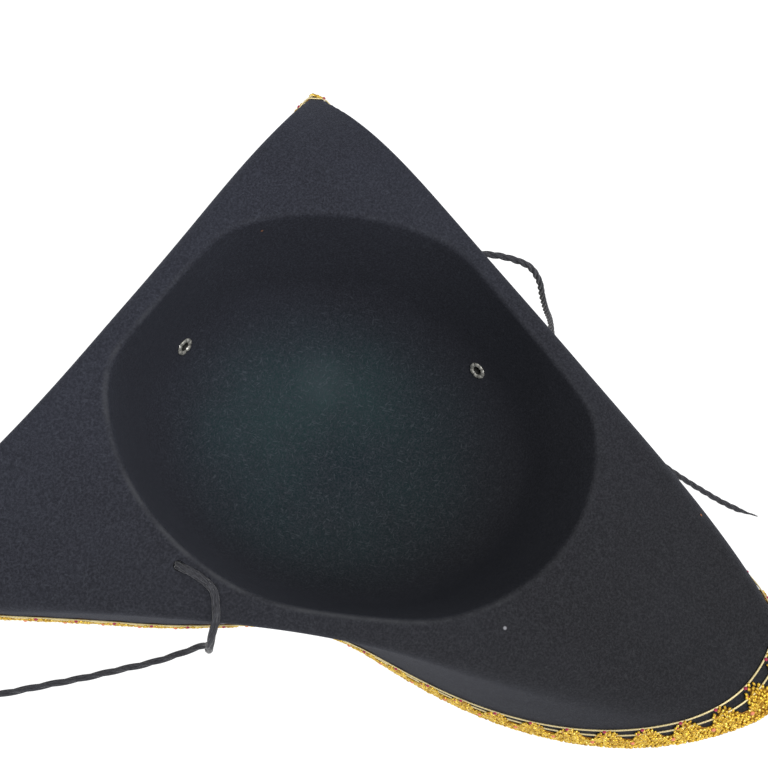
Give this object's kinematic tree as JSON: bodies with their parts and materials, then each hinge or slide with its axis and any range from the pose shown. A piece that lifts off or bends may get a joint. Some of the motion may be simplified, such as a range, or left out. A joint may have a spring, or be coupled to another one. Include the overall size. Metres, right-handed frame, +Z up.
{
  "type": "tricorn hat",
  "caption": "Black felt tricorn hat lying crown down, its brim turned up on three sides, edged with gold braid, with eyelets and loose chin cords.",
  "frame": {"origin": "middle of the crown top, on the surface that the hat rests on", "axes": "+Z up, out of the head opening; -Y towards the front corner; +X to the wearer's left as the hat lies upside down"},
  "size_m": [0.3372, 0.3478, 0.1111],
  "materials": {
    "felt": "matt brushed wool felt",
    "braid": "woven metallic gold thread",
    "nickel": "plated, slightly worn",
    "cord": "twisted black cord"
  },
  "bodies": {
    "root": {"hat_body": "felt", "brim_braid": "braid", "eyelet_left": "nickel", "eyelet_right": "nickel", "chin_cord_left": "cord", "cord_knot_left": "cord", "chin_cord_right": "cord", "cord_knot_right": "cord"}
  },
  "joints": []
}
